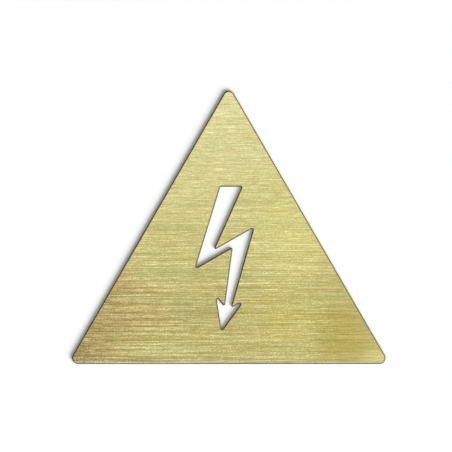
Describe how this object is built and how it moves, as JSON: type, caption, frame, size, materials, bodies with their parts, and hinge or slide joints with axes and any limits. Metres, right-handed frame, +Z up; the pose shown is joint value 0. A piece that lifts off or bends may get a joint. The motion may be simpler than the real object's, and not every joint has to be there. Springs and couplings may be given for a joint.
{
  "type": "electrical hazard sign",
  "caption": "Flat triangular warning sign in brushed brass sheet, with rounded corners and a lightning bolt cut right through it.",
  "frame": {"origin": "back face of the sheet, at the middle of its lower edge", "axes": "+X to the right as the face is seen, +Y from the face towards the wall behind, +Z up"},
  "size_m": [0.1, 0.0015, 0.0871],
  "materials": {
    "brushed_brass": "brushed from side to side, slightly tarnished"
  },
  "bodies": {
    "root": {"sign_plate": "brushed_brass"}
  },
  "joints": []
}
